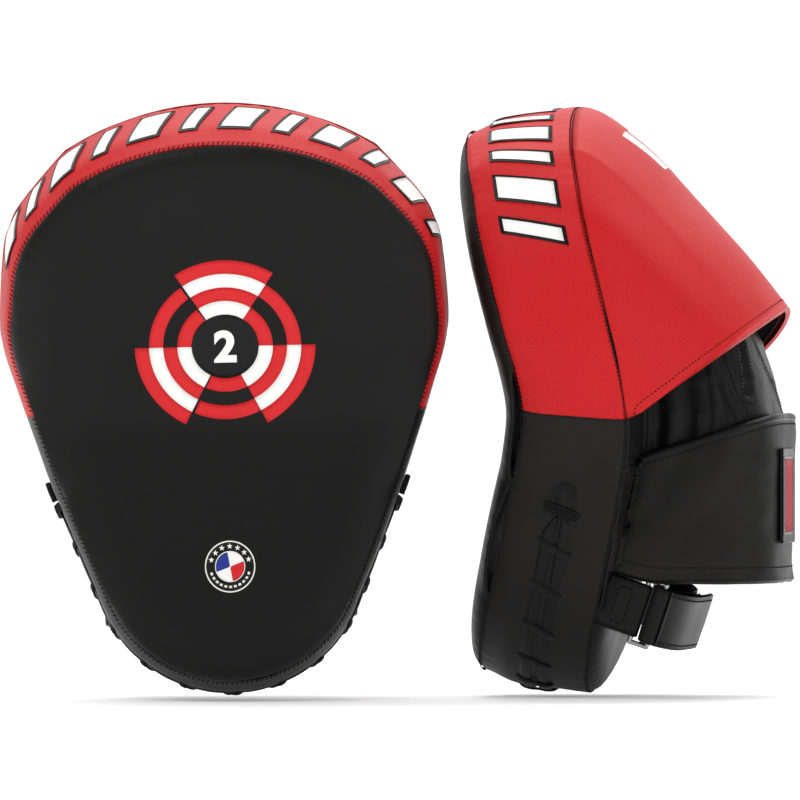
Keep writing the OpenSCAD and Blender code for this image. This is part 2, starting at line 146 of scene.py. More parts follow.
# Closely spaced points, from the tip up the +x side, over the top and back to the tip
RIM_POINTS = np.array([outline_point(deg) for deg in np.arange(-90, 270, 0.25)])
RIM_POINTS = np.vstack([RIM_POINTS, RIM_POINTS[:1]])
RIM_AT = lengths(RIM_POINTS)
RIM_LEN = RIM_AT[-1]
HALF_RIM = RIM_LEN / 2


def rim(s):
    return picked(np.mod(s, RIM_LEN), RIM_AT, RIM_POINTS)


def rim_out(s):
    """The outward direction, softened over a few millimetres."""
    d = unit(rim(np.asarray(s) + 4) - rim(np.asarray(s) - 4))
    return np.stack([d[..., 1], -d[..., 0]], -1)


def out_3d(s):
    n = rim_out(s)
    return np.stack([n[:, 0], np.zeros(len(s)), n[:, 1]], -1)


def smooth(x):
    x = np.clip(x, 0, 1)
    return x * x * (3 - 2 * x)


def bell(x, wide):
    return np.exp(-(x / wide) ** 2)


def at_depth(p, t):
    """Where an outline's point is at a share t of the wall's depth, as x, y, z."""
    z = p[..., 1]
    for _ in range(5):
        y = (1 - t) * face_y(z) + t * back_y(z)
        z = KNEE_Z + (p[..., 1] - KNEE_Z) * (1 + END_TAPER * (y - FULL_HEIGHT_Y))
    x = p[..., 0] * (1 + SIDE_TAPER * (y - FULL_WIDTH_Y))
    return np.stack([x, y, z], -1)


def wall_swell(t, end):
    """How far the wall stands out at a share of its depth; end is how much it faces up or down."""
    roll = -(1.0 + 2.2 * end) * (1 - smooth(t / (0.16 + 0.2 * end))) ** 1.4
    groove = -0.8 * bell(t, 0.022) - 1.2 * bell(1 - t, 0.018)
    return roll + 1.0 * np.sin(math.pi * t) + groove


def wall(s, t, out=0.0):
    s, t = np.broadcast_arrays(np.asarray(s, float), np.asarray(t, float))
    n = rim_out(s)
    d = wall_swell(t, np.abs(n[..., 1])) + out
    q = at_depth(rim(s), t)
    return q + np.stack([n[..., 0] * d, 0 * d, n[..., 1] * d], -1)


def s_at_height(z, side=1):
    """Where the outline reaches a height, on the +x side or the -x side."""
    half = RIM_AT <= HALF_RIM
    s = np.interp(z, RIM_POINTS[half, 1], RIM_AT[half])
    return s if side > 0 else RIM_LEN - s


BORDER_Z, BORDER_DROP = 126.7, 3.6


def border_s(t, side=1):
    return s_at_height(BORDER_Z - BORDER_DROP * t, side)


# ---- the padded face ----

FACE_MID = np.array((0, 150.0))


def reach_table(t):
    """How far the wall's edge is from the middle of the face, in each direction."""
    edge = wall(RIM_AT[:-1], t)[:, [0, 2]] - FACE_MID
    at = np.arctan2(edge[:, 1], edge[:, 0])
    order = np.argsort(at)
    at, far = at[order], np.linalg.norm(edge, axis=1)[order]
    return np.concatenate([at - 2 * math.pi, at, at + 2 * math.pi]), np.tile(far, 3)


REACH = {t: reach_table(t) for t in (0, 1)}


def face_surface(x, z):
    """The depth of the padded face over a point of its outline."""
    dx, dz = x - FACE_MID[0], z - FACE_MID[1]
    edge = np.interp(np.arctan2(dz, dx), *REACH[0])
    r = np.hypot(dx, dz)
    inward = np.clip(edge - r, 0, None)
    roll = np.clip(inward / 24, 0, 1)
    height = (CROWN - 1.2) * np.sqrt(1 - (1 - roll) ** 2) + 1.2 * (1 - np.clip(r / edge, 0, 1) ** 2)
    return face_y(z) - height


# ---- meshes ----


def grid_faces(rows, cols, closed=False, start=0):
    """Quads of a grid of points, row by row; closed joins the last column to the first."""
    faces = []
    for r in range(rows - 1):
        for c in range(cols if closed else cols - 1):
            d = (c + 1) % cols
            a, b = start + r * cols, start + (r + 1) * cols
            faces.append((a + c, a + d, b + d, b + c))
    return faces


def normals_of(grid, closed=False):
    du = np.gradient(grid, axis=1)
    if closed:
        du = (np.roll(grid, -1, axis=1) - np.roll(grid, 1, axis=1)) / 2
    return unit(np.cross(du, np.gradient(grid, axis=0)))


def middle_of(grid):
    return grid[len(grid) // 2, grid.shape[1] // 2]


def facing(grid, axis=1):
    """A grid, turned over if its middle looks back along an axis."""
    return grid[:, ::-1] if middle_of(normals_of(grid))[axis] < 0 else grid


def rear_normals(grid):
    """The normals of a grid on the side that looks to the hand, whichever way its columns run."""
    n = normals_of(grid)
    return -n if middle_of(n)[1] < 0 else n


def thick(grid, t, closed=False, bulge=0.35):
    """A closed sheet of thickness t below a grid, with rounded edges. Returns points and faces."""
    rows, cols = grid.shape[:2]
    top = grid.reshape(-1, 3)
    low = (grid - normals_of(grid, closed) * t).reshape(-1, 3)
    verts = [top, low]
    size = rows * cols
    faces = grid_faces(rows, cols, closed)
    faces += [f[::-1] for f in grid_faces(rows, cols, closed, size)]
    count = 2 * size

    def edge(line, beside):
        """Joins both faces along a line by points that bulge away from the line beside it."""
        nonlocal count
        verts.append((top[line] + low[line]) / 2 + unit(top[line] - top[beside]) * t * bulge)
        k = len(line)
        for i in range(k if closed else k - 1):
            j = (i + 1) % k
            faces.append((line[i], count + i, count + j, line[j]))
            faces.append((count + i, line[i] + size, line[j] + size, count + j))
        count += k

    idx = np.arange(size).reshape(rows, cols)
    edge(idx[0, ::-1], idx[1, ::-1])
    edge(idx[-1], idx[-2])
    if not closed:
        edge(idx[:, 0], idx[:, 1])
        edge(idx[::-1, -1], idx[::-1, -2])
    return np.vstack(verts), faces


def tube(path, radius, sides, flat, up):
    """A tube along a path. radius may be a list; flat squeezes it across the direction up."""
    path = np.asarray(path, float)
    k = len(path)
    radius = np.broadcast_to(np.asarray(radius, float), (k,))
    t = unit(np.gradient(path, axis=0))
    side = unit(np.cross(t, np.broadcast_to(np.asarray(up, float), (k, 3))))
    top = np.cross(side, t)
    a = np.arange(sides) * 2 * math.pi / sides
    rings = (
        path[:, None]
        + (np.cos(a)[None, :, None] * side[:, None] + flat * np.sin(a)[None, :, None] * top[:, None])
        * radius[:, None, None]
    )
    ends = [tuple(range(sides))[::-1], tuple(range((k - 1) * sides, k * sides))]
    return rings.reshape(-1, 3), grid_faces(k, sides, True) + ends


def joined(parts):
    """Several (points, faces) as one."""
    verts, faces, n = [], [], 0
    for v, f in parts:
        verts.append(np.asarray(v))
        faces += [tuple(i + n for i in q) for q in f]
        n += len(v)
    return np.vstack(verts), faces


def bead(a, b, up, r):
    """One stitch: a short rounded bead from a to b."""
    path = a + (b - a) * np.array((0, 0.25, 0.75, 1.0))[:, None]
    return tube(path, np.array((0.4, 1, 1, 0.4)) * r, 5, 0.6, up)


def stitch_run(points, ups, pitch, length, r, lean=0.0, sink=0.0):
    """Stitches along a line of points: a bead every pitch, leaning across the line."""
    points, ups = np.asarray(points, float), np.asarray(ups, float)
    at = lengths(points)
    turn = math.radians(lean)
    beads = []
    for i in range(int(at[-1] / pitch)):
        mid = (i + 0.5) * pitch
        p0, p1, p = picked(np.array((mid - 0.5, mid + 0.5, mid)), at, points)
        up = picked(mid, at, ups)
        t = (p1 - p0) / max(np.linalg.norm(p1 - p0), 1e-9)
        d = t * math.cos(turn) + np.cross(up, t) * math.sin(turn)
        p = p - up * sink
        beads.append(bead(p - d * length / 2, p + d * length / 2, up, r))
    return joined(beads)


def piece(name, shape, side, look, replaces=(), body="mitt", mirror=False):
    """Makes a piece of one mitt, dresses it and fixes it to its body."""
    verts, faces = shape
    verts = np.array(verts, float)
    if mirror and side == "right":
        verts[:, 0] *= -1
        faces = [f[::-1] for f in faces]
    m = PLACE[side]
    mesh = bpy.data.meshes.new(f"{side}_{name}")
    points = verts @ m[:3, :3].T + m[:3, 3]
    mesh.from_pydata(points.tolist(), [], [tuple(int(i) for i in f) for f in faces])
    mesh.validate()
    mesh.polygons.foreach_set("use_smooth", [True] * len(mesh.polygons))
    mesh.materials.append(LOOK[look])
    obj = bpy.data.objects.new(f"{side}_{name}", mesh)
    bpy.context.scene.collection.objects.link(obj)
    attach(obj, f"{side}_{body}")
    if replaces:
        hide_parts(*(f"{side}_{n}" for n in replaces))
    return obj


def noise_at(points, shape):
    return np.array([noise.noise(p) for p in points]).reshape(shape)


# ---- materials ----


class Nodes:
    """The nodes of a material or a world. A socket's name is written with _ for its spaces."""

    def __init__(self, owner):
        owner.use_nodes = True
        self.owner, self.tree = owner, owner.node_tree

    def put(self, node, **settings):
        """Sets a node's properties and inputs. An input given a socket is linked to it."""
        for key, value in settings.items():
            socket = node.inputs.get(key.replace("_", " "))
            if socket is None:
                setattr(node, key, value)
            elif isinstance(value, bpy.types.NodeSocket):
                self.tree.links.new(value, socket)
            else:
                socket.default_value = (*value, 1) if isinstance(value, tuple) else value
        return node

    def add(self, kind, **settings):
        return self.put(self.tree.nodes.new("ShaderNode" + kind), **settings)

    def texture(self, kind, **settings):
        """The value of a texture that is laid out in the piece's own coordinates."""
        place_in = self.add("TexCoord").outputs["Object"]
        node = self.add("Tex" + kind, Vector=place_in, **settings)
        return node.outputs["Distance" if kind == "Voronoi" else "Fac"]

    def mix(self, factor, a, b):
        return self.add("Mix", data_type="RGBA", Factor=factor, A=a, B=b).outputs["Result"]

    def ranged(self, value, **ends):
        return self.add("MapRange", Value=value, **ends).outputs["Result"]

    def shaded(self, layers, **inputs):
        """Dresses the shader. Each layer of bumps is (height, distance in metres, strength)."""
        for height, distance, strength in layers:
            last = {"Normal": inputs["Normal"]} if "Normal" in inputs else {}
            bump = self.add("Bump", Height=height, Distance=distance, Strength=strength, **last)
            inputs["Normal"] = bump.outputs["Normal"]
        self.put(self.tree.nodes["Principled BSDF"], **inputs)
        return self.owner


def blank(name):
    return Nodes(bpy.data.materials.new(name))


def dimmed(colour, share):
    return tuple(c * share for c in colour)


GRAIN, GRAIN_DEPTH = 0.00085, 0.00009


def leather(name, colour, dark, rough, crease=0.0):
    """Coated leather: a pebbled grain, faint creases, uneven gloss and slightly worn high spots."""
    look = blank(name)
    pebbles = look.texture("Voronoi", Scale=1 / GRAIN, Randomness=0.9)
    fine = look.texture("Noise", Scale=2.6 / GRAIN, Detail=2.0)
    patches = look.texture("Noise", Scale=34.0, Detail=4.0)
    layers = [(patches, 0.0008, 0.12), (pebbles, GRAIN_DEPTH, 0.8), (fine, GRAIN_DEPTH * 0.5, 0.5)]
    if crease:
        folds = look.texture("Noise", Scale=150.0, Detail=5.0, Distortion=1.4)
        layers.insert(0, (folds, 0.0006, crease))
    spots = look.ranged(pebbles, From_Max=0.75, To_Max=0.35)
    tone = look.mix(spots, look.mix(patches, dark, colour), dimmed(dark, 0.55))
    gloss = look.ranged(patches, From_Min=0.3, From_Max=0.7, To_Min=rough + 0.05, To_Max=rough - 0.05)
    return look.shaded(layers, Base_Color=tone, Roughness=gloss, Specular_IOR_Level=0.12)


def printed(name, colour, rough=0.42):
    """Screen-printed ink over the leather's grain, with faint wear."""
    look = blank(name)
    grain = look.texture("Voronoi", Scale=1180.0)
    rubbed = look.texture("Noise", Scale=260.0, Detail=6.0)
    wear = look.ranged(rubbed, From_Min=0.62, From_Max=0.78, To_Max=0.3)
    tone = look.mix(wear, colour, dimmed(colour, 0.7))
    layers = [(grain, 0.00005, 0.6)]
    return look.shaded(layers, Base_Color=tone, Roughness=rough, Specular_IOR_Level=0.15)


def thread(name, colour):
    """Twisted thread: fine slanted ridges, darker in the grooves between them as painted shade."""
    look = blank(name)
    twist = look.texture("Wave", Scale=900.0, Distortion=1.5, bands_direction="DIAGONAL")
    # The thread's colour dims to 0.6 in the grooves of the twist: painted shade.
    tone = look.mix(twist, dimmed(colour, 0.6), colour)
    return look.shaded([(twist, 0.0001, 0.5)], Base_Color=tone, Roughness=0.8, Specular_IOR_Level=0.2)


def woven(name, colour, scale, fuzz):
    """Woven tape, lining or pile: crossed ridges with a little sheen, and painted shade that darkens the
    gaps between the yarns.
    """
    look = blank(name)
    warp, weft = (look.texture("Wave", Scale=scale, Distortion=0.6, bands_direction=d) for d in "XZ")
    lint = look.texture("Noise", Scale=1500.0, Detail=3.0)
    cross = look.add("Math", operation="MULTIPLY", Value=warp)
    look.tree.links.new(weft, cross.inputs[1])
    cross = cross.outputs[0]
    # The colour dims to half in the gaps between the crossed ridges: painted shade.
    tone = look.mix(cross, dimmed(colour, 0.5), colour)
    layers = [(cross, 0.0003, 0.7), (lint, 0.0001, 0.4)]
    return look.shaded(
        layers, Base_Color=tone, Roughness=0.85, Specular_IOR_Level=0.2, Sheen_Weight=fuzz
    )


def metal(name, colour):
    """Polished wire with a few fine scratches."""
    look = blank(name)
    scratch = look.texture("Noise", Scale=600.0, Detail=6.0, Distortion=3.0)
    rough = look.ranged(scratch, To_Min=0.12, To_Max=0.35)
    return look.shaded([(scratch, 0.00003, 0.3)], Base_Color=colour, Metallic=1.0, Roughness=rough)


TRIM = (0.009, 0.0088, 0.0085)
LOOK = {
    "red": leather("red_leather", (0.60, 0.016, 0.018), (0.54, 0.013, 0.015), 0.43),
    "black": leather("black_leather", (0.0105, 0.0098, 0.0095), (0.008, 0.0075, 0.0072), 0.45),
    # A lighter copy of the black leather for the side walls and the cuff: painted light, these sides
    # coloured brighter as if more light fell on them.
    "black_painted_lighter": leather("black_leather_painted_lighter", (0.0142, 0.0131, 0.0125), (0.011, 0.0103, 0.0099), 0.45),
    "soft": leather("soft_leather", (0.0105, 0.0102, 0.01), (0.007, 0.007, 0.007), 0.4, 0.35),
    "edge": leather("binding_leather", TRIM, (0.006, 0.006, 0.006), 0.38),
    "white_ink": printed("white_ink", (0.86, 0.86, 0.84)),
    "red_ink": printed("red_ink", (0.62, 0.02, 0.024)),
    "black_ink": printed("black_ink", (0.008, 0.008, 0.008), 0.36),
    "blue_ink": printed("blue_ink", (0.02, 0.04, 0.26)),
    "label": printed("label_red", (0.33, 0.008, 0.014), 0.6),
    "silver_ink": printed("silver_ink", (0.42, 0.42, 0.42), 0.45),
    "red_thread": thread("red_thread", (0.13, 0.003, 0.004)),
    "black_thread": thread("black_thread", (0.0015, 0.0015, 0.0015)),
    "cord": woven("lace_cord", TRIM, 1100.0, 0.05),
    "webbing": woven("webbing", TRIM, 900.0, 0.05),
    "lining": woven("lining", (0.008, 0.008, 0.008), 1300.0, 0.05),
    "pile": woven("pile", (0.016, 0.016, 0.016), 1600.0, 0.3),
    "steel": metal("ring_steel", (0.34, 0.34, 0.35)),
}

# ---- the pad ----

AROUND = 360
FACE_STEPS = [0, 0.5, 1.4, 2.7, 4.4, 6.6, 9.3, 12.5]
INNER_STEPS = 28
PUCKER = 7.5


def pucker(s, seed=0.0):
    """Uneven gathers along a seam, from -1 to 1."""
    s = np.asarray(s, float)
    wander = noise_at(((q * 0.05 + seed, 3.1, 0) for q in np.ravel(s)), s.shape)
    return np.sin(2 * math.pi * s / PUCKER + 4 * wander) * (0.6 + 0.8 * wander)


def polar_cover(depth_of, t, gathers, seed, sign=-1):
    """A cover from the wall's edge to the middle, with its depth from a function of x and z."""
    s = np.linspace(0, RIM_LEN, AROUND, endpoint=False)
    n = rim_out(s)
    seam = wall(s, t)[:, [0, 2]]
    rings = []
    for d in FACE_STEPS:
        q = seam - n * d
        y = depth_of(q[:, 0], q[:, 1])
        y = y + sign * gathers * pucker(s, seed) * bell(d - 3, 5) * (d > 0.4)
        rings.append(np.stack([q[:, 0], y, q[:, 1]], -1))
    last = seam - n * FACE_STEPS[-1]
    for i in range(1, INNER_STEPS):
        f = 1 - i / INNER_STEPS
        q = FACE_MID + (last - FACE_MID) * f
        rings.append(np.stack([q[:, 0], depth_of(q[:, 0], q[:, 1]), q[:, 1]], -1))
    verts = np.vstack(rings)
    faces = grid_faces(len(rings), AROUND, True)
    x, z = FACE_MID
    verts = np.vstack([verts, [[x, float(depth_of(x, z)), z]]])
    first = (len(rings) - 1) * AROUND
    faces += [(first + i, first + (i + 1) % AROUND, len(verts) - 1) for i in range(AROUND)]
    return verts, faces


def closed_behind(shape, push):
    """Closes a polar cover with a copy of itself pushed along y."""
    verts, faces = shape
    n = len(verts)
    back = verts + np.array((0, push, 0))
    rim_faces = [((i + 1) % AROUND, i, n + i, n + (i + 1) % AROUND) for i in range(AROUND)]
    return np.vstack([verts, back]), faces + [tuple(n + i for i in f[::-1]) for f in faces] + rim_faces


def make_face(side):
    shape = closed_behind(polar_cover(face_surface, 0, 0.22, 1.7 if side == "left" else 9.2), 1.6)
    nodes = ["strike_cover", "face_foam", "foam_core"]
    piece("face_leather", shape, side, "black", nodes)


WALL_ROWS = np.array([0, 0.012, 0.028, 0.05, *np.linspace(0.09, 0.91, 18), 0.95, 0.972, 0.988, 1])


def wall_band(from_side, to_side, cols, wrinkle, seed):
    """The side wall between the two red-black borders, over the top or round the bottom."""
    t = WALL_ROWS[:, None]
    s0, s1 = border_s(t, from_side), border_s(t, to_side)
    if from_side < 0:
        s1 = s1 + RIM_LEN
    u = np.linspace(0, 1, cols)[None, :]
    s = s0 + (s1 - s0) * u
    tt = np.broadcast_to(t, s.shape)
    fold = noise_at(((q * 0.035, r * 2.2, seed) for q, r in zip(s.ravel(), tt.ravel())), s.shape)
    gather = pucker(s, seed) * (bell(tt - 0.05, 0.05) + bell(tt - 0.95, 0.05))
    grid = wall(s, tt, wrinkle * fold + 0.18 * gather)
    return grid[:, ::-1]


def make_walls(side):
    seed = 2.0 if side == "left" else 5.0
    red = thick(wall_band(1, -1, 300, 0.5, seed), 1.6)
    piece("red_wall", red, side, "red", ["red_band"])
    black = thick(wall_band(-1, 1, 240, 0.7, seed + 1), 1.6)
    # The black side wall takes the lighter copy of the black leather: painted light.
    piece("black_wall", black, side, "black_painted_lighter", ["black_band"])


def back_surface(x, z):
    """The back panel: flat behind the hand, padded out below the wrist."""
    dx, dz = x - FACE_MID[0], z - FACE_MID[1]
    edge = np.interp(np.arctan2(dz, dx), *REACH[1])
    inward = np.clip(edge - np.hypot(dx, dz), 0, None)
    roll = np.sqrt(1 - (1 - np.clip(inward / 16, 0, 1)) ** 2)
    swell = 1.6 + 3.9 * (1 - smooth((z - 30) / 24))
    return back_y(z) + 0.2 + roll * swell


def make_back(side):
    verts, faces = closed_behind(polar_cover(back_surface, 1, 0.12, 4.4, 1), -1.4)
    piece("back_leather", (verts, [f[::-1] for f in faces]), side, "black",
          ["back_cover"])


def seam_line(s0, s1, t, out):
    """A line of points along the wall and their outward directions."""
    s = np.linspace(s0, s1, 500)
    return wall(s, t, out), out_3d(s)


def make_seams(side):
    """Overlock along the face seam, and a sunk row of stitches along the back seam."""
    for t, name in ((0, "overlock"), (1, "back_stitch")):
        right, left = border_s(t), border_s(t, -1)
        for colour, s0, s1 in (("red", right, left), ("black", left, right + RIM_LEN)):
            if t == 0:
                line, out = seam_line(s0, s1, 0.0, 0.75)
                up = unit(0.6 * out - np.array((0, 0.8, 0)))
                shape = stitch_run(line - np.array((0, 0.5, 0)), up, 2.2, 2.2, 0.34, 62)
            else:
                line, out = seam_line(s0, s1, 0.984, 0.5)
                shape = stitch_run(line, out, 1.8, 1.3, 0.42, 10, 0.1)
            stands_for = ["seam_thread"] if (t, colour) == (0, "red") else []
            piece(f"{colour}_{name}", shape, side, colour + "_thread", stands_for)


# ---- prints ----

TARGET_Z, CORE_R, RING_STEP = 160, 14.9, 6.3
WIDE = [(57, 123), (180, 243), (297, 360)]
NARROW = [(0, 57), (125, 180), (245, 297)]
INK = 0.08


def arc_patch(r0, r1, a0, a1, mid, lift=INK):
    cols = max(6, int((a1 - a0) / 3))
    a = np.radians(np.linspace(a0, a1, cols))
    r = np.linspace(r0, r1, 4)[:, None]
    x = mid[0] + r * np.cos(a)
    z = mid[1] + r * np.sin(a)
    grid = np.stack([x, face_surface(x, z) - lift, z], -1)
    return thick(grid[:, ::-1], 0.3, False, 0.1)


def disc_patch(r, mid, lift, rings=6, cols=64):
    a = np.linspace(0, 2 * math.pi, cols, endpoint=False)
    rr = np.linspace(r, r / rings, rings)[:, None]
    x = mid[0] + rr * np.cos(a)
    z = mid[1] + rr * np.sin(a)
    grid = np.stack([x, face_surface(x, z) - lift, z], -1)[:, ::-1]
    n = rings * cols
    centre = np.array([[mid[0], float(face_surface(*mid)) - lift, mid[1]]])
    verts = np.vstack([grid.reshape(-1, 3), centre])
    top = grid_faces(rings, cols, True)
    first = (rings - 1) * cols
    top += [(first + c, first + (c + 1) % cols, n) for c in range(cols)]
    faces = top + [tuple(i + n + 1 for i in f[::-1]) for f in top]
    faces += [((c + 1) % cols, c, n + 1 + c, n + 1 + (c + 1) % cols) for c in range(cols)]
    return np.vstack([verts, verts + (0, 0.3, 0)]), faces


def glyph_patch(text, size, mid, lift):
    """A digit laid on the face."""
    curve = bpy.data.curves.new("digit", "FONT")
    curve.body, curve.size, curve.offset = text, size, 0.8
    curve.align_x = "CENTER"
    curve.resolution_u = 12
    curve.extrude = 0.15
    obj = bpy.data.objects.new("digit", curve)
    mesh = bpy.data.meshes.new_from_object(obj)
    co = np.array([v.co for v in mesh.vertices])
    faces = [tuple(p.vertices) for p in mesh.polygons]
    bpy.data.objects.remove(obj)
    low, high = co.min(0), co.max(0)
    x = co[:, 0] - (low[0] + high[0]) / 2 + mid[0]
    z = co[:, 1] - (low[1] + high[1]) / 2 + mid[1]
    y = face_surface(x, z) - lift - co[:, 2]
    return np.stack([x, y, z], -1), faces


def star(r, mid, lift):
    """A five-pointed star as a fan."""
    a = [math.pi / 2 + i * math.pi / 5 for i in range(10)]
    rr = [r if i % 2 == 0 else r * 0.42 for i in range(10)]
    pts = np.array([(0, 0)] + [(q * math.cos(t), q * math.sin(t)) for q, t in zip(rr, a)]) + mid
    top = np.stack([pts[:, 0], face_surface(*pts.T) - lift, pts[:, 1]], -1)
    verts = np.vstack([top, top + (0, 0.25, 0)])
    faces = [(0, 1 + (i + 1) % 10, 1 + i) for i in range(10)]
    faces += [(11, 12 + i, 12 + (i + 1) % 10) for i in range(10)]
    faces += [(1 + i, 1 + (i + 1) % 10, 12 + (i + 1) % 10, 12 + i) for i in range(10)]
    return verts, [f[::-1] for f in faces]


def make_target(side):
    mid = (0, TARGET_Z)
    ring = [CORE_R + n * RING_STEP for n in range(5)]
    red, white = [], []
    for spans, inks in ((WIDE, (white, red, white, red)), (NARROW, (red, None, red, None))):
        for a0, a1 in spans:
            for i in (3, 2, 1, 0):
                if inks[i] is not None:
                    inks[i].append(arc_patch(ring[i], ring[i + 1], a0, a1, mid))
    white.append(glyph_patch("1" if side == "left" else "2", 19.5, mid, INK))
    piece("target_red_ink", joined(red), side, "red_ink", ["target_red"])
    piece("target_white_ink", joined(white), side, "white_ink", ["target_white"])
    piece("target_core_ink", disc_patch(CORE_R, mid, 0.07), side, "black_ink")


BADGE_Z, BADGE_R = 62.2, 11.2


def make_badge(side):
    """A plain roundel: a dark ring with stars and dashes round a tricolour disc."""
    mid = (0, BADGE_Z)
    r_in = BADGE_R * 0.6
    piece("badge_ground", disc_patch(BADGE_R, mid, 0.1), side, "black_ink", ["badge"])
    white = [
        arc_patch(BADGE_R - 0.55, BADGE_R, 0, 180, mid, 0.22),
        arc_patch(BADGE_R - 0.55, BADGE_R, 180, 360, mid, 0.22),
        disc_patch(r_in, mid, 0.22),
    ]
    mean_r = (BADGE_R + r_in) / 2 - 0.2
    for a in np.radians(np.linspace(20, 160, 7)):
        white.append(star(1.35, (mean_r * math.cos(a), BADGE_Z + mean_r * math.sin(a)), 0.26))
    for a in range(200, 341, 14):
        white.append(arc_patch(mean_r - 0.5, mean_r + 0.5, a - 4, a + 4, mid, 0.26))
    piece("badge_white", joined(white), side, "white_ink")
    blue = arc_patch(0.4, r_in - 0.4, 100, 200, mid, 0.34)
    red = arc_patch(0.4, r_in - 0.4, 280, 380, mid, 0.34)
    piece("badge_blue", blue, side, "blue_ink")
    piece("badge_red", red, side, "red_ink")


BAR_SLANT = 7.0
BARS = [(-121, 6), (-103, 13), (-78, 6), (-60, 13), (-35, 6), (-17, 13), (8, 6),
        (26, 13), (51, 6), (69, 13), (94, 6), (112, 13)]


def wall_patch(s0, s1, t0, t1, slant, lift):
    t = np.linspace(t0, t1, 10)[:, None]
    cols = max(6, int((s1 - s0) / 1.5))
    s = np.linspace(s0, s1, cols)[None, :] + slant * (t - 0.5)
    grid = wall(s, np.broadcast_to(t, s.shape), lift)
    return thick(grid[:, ::-1], 0.35, False, 0.1)


def make_band_print(side):
    """Slanted bars in two widths round the top of the red wall, white with a dark outline."""
    white, dark = [], []
    for at, wide in BARS:
        s0 = HALF_RIM + at
        white.append(wall_patch(s0, s0 + wide, 0.24, 0.78, -BAR_SLANT * 2, 0.75))
        dark.append(wall_patch(s0 - 1.5, s0 + wide + 1.5, 0.205, 0.815, -BAR_SLANT * 2, 0.62))
    piece("wall_bars", joined(white), side, "white_ink", ["band_print"])
    piece("wall_bar_outlines", joined(dark), side, "black_ink")


# ---- lacing ----

RUNG_GAP, TOP_RUNG_S, LOOP_S = 20.5, 121, 130.5


def make_lips():
    """Two low padded lips along the slit, pinched a little at every rung."""
    s = np.linspace(-118, 118, 320)
    puff = 0.72 + 0.28 * np.abs(np.sin(math.pi * s / RUNG_GAP)) ** 0.6
    wide = 6.2 * np.sqrt(np.clip((118.5 - np.abs(s)) / 8, 0.02, 1))
    v = np.linspace(0, 1, 15)[:, None]
    lips = []
    for sign in (-1, 1):
        d = sign * (0.4 + wide * v)
        height = 1.5 * (1 - np.abs(2 * v - 1) ** 3.2) * puff - 0.5
        grid = wall(s + 0 * v, 0.5 + d / WALL, height)
        lips.append(thick(grid[:, ::-1] if sign > 0 else grid, 0.8, False, 0.1))
    return joined(lips)


def rung_path(s0, half, rise, slope=0.52):
    """The line of a cord over the slit, whose ends dive into the wall."""
    q = np.linspace(-1, 1, 19)
    s = s0 - (slope if s0 >= 0 else -slope) * half * q
    lift = rise * (1 - np.abs(q) ** 4) - 1.0 * np.abs(q) ** 8 - 0.35 * bell(q, 0.2)
    return wall(s, 0.5 + half * q / WALL, lift), out_3d(s), q


def make_lacing(side):
    """The slit's lips, the flat cords across them, and a stitched bar at each end."""
    piece("slit_lips", make_lips(), side, "black", ["lace_lips"])
    cords = []
    for k in range(-5, 6):
        path, out, q = rung_path(k * RUNG_GAP, 8.2, 1.3)
        cords.append(tube(path, 1.65 * (1 - 0.25 * np.abs(q) ** 4), 10, 0.42, out))
    piece("lace_cords", joined(cords), side, "cord", ["laces"])
    bars, tacks = [], []
    for sign in (-1, 1):
        path, out, q = rung_path(sign * TOP_RUNG_S, 8.8, 1.5, 0.36)
        bars.append(tube(path, 2.4 * (1 - 0.2 * np.abs(q) ** 4), 12, 0.5, out))
        tacks.append(stitch_run(path[1:-1] + out[1:-1] * 1.1, out[1:-1], 0.85, 4.0, 0.34, 78))
    piece("bar_tapes", joined(bars), side, "cord")
    piece("bar_tacks", joined(tacks), side, "black_thread")


def make_pull_loops(side):
    """A loop of tape that stands above each stitched bar."""
    for sign, name in ((1, "outer"), (-1, "inner")):
        a = np.linspace(-0.2, math.pi + 0.2, 24)
        s = sign * (LOOP_S - 3.2 + 6.6 * np.sin(a))
        path = wall(s, 0.5 + 4.0 * np.cos(a) / WALL, 1.2)
        up = np.cross(np.gradient(path, axis=0), out_3d(s))
        piece(f"{name}_loop_tape", tube(path, 1.25, 10, 0.5, up), side, "webbing",
              [f"pull_loop_{name}"], f"{name}_loop")


# ---- hood ----

PEAK_Y, PEAK_Z = 143, 174
HOOD_FROM = BORDER_Z - BORDER_DROP + 1
HEM_STEPS = 20
HOOD_T = 2.6


def hood_edges(k):
    """The k-th point of the sewn edge and of the free hem, as the CAD lays them out."""
    half = float(rim(s_at_height(HOOD_FROM))[0])
    if k in (0, HEM_STEPS):
        p = np.array((half if k == 0 else -half, HOOD_FROM))
    else:
        p = outline_point(-15 + (k - 1) * 210 / (HEM_STEPS - 2))
    sewn = at_depth(p.astype(float), 1.0) + (0, 0.6, 0)
    a = math.pi * k / HEM_STEPS
    y0 = back_y(HOOD_FROM) + 6.1
    rise = 0.85 * math.sin(a) + 0.15 * (1 - abs(math.cos(a)))
    hem = np.array((half * math.cos(a), y0 + (PEAK_Y - y0) * math.sin(a),
                    HOOD_FROM + 2 + (PEAK_Z - HOOD_FROM - 2) * rise))
    return sewn, hem


def spline(points, count):
    """A smooth curve through points, at count even steps."""
    p = np.vstack([2 * points[0] - points[1], points, 2 * points[-1] - points[-2]])
    u = np.linspace(0, len(points) - 1 - 1e-9, count)
    i = u.astype(int)
    f = (u - i)[:, None]
    a, b, c, d = p[i], p[i + 1], p[i + 2], p[i + 3]
    square, cube = 2 * a - 5 * b + 4 * c - d, 3 * b - a - 3 * c + d
    return 0.5 * (2 * b + (c - a) * f + square * f**2 + cube * f**3)


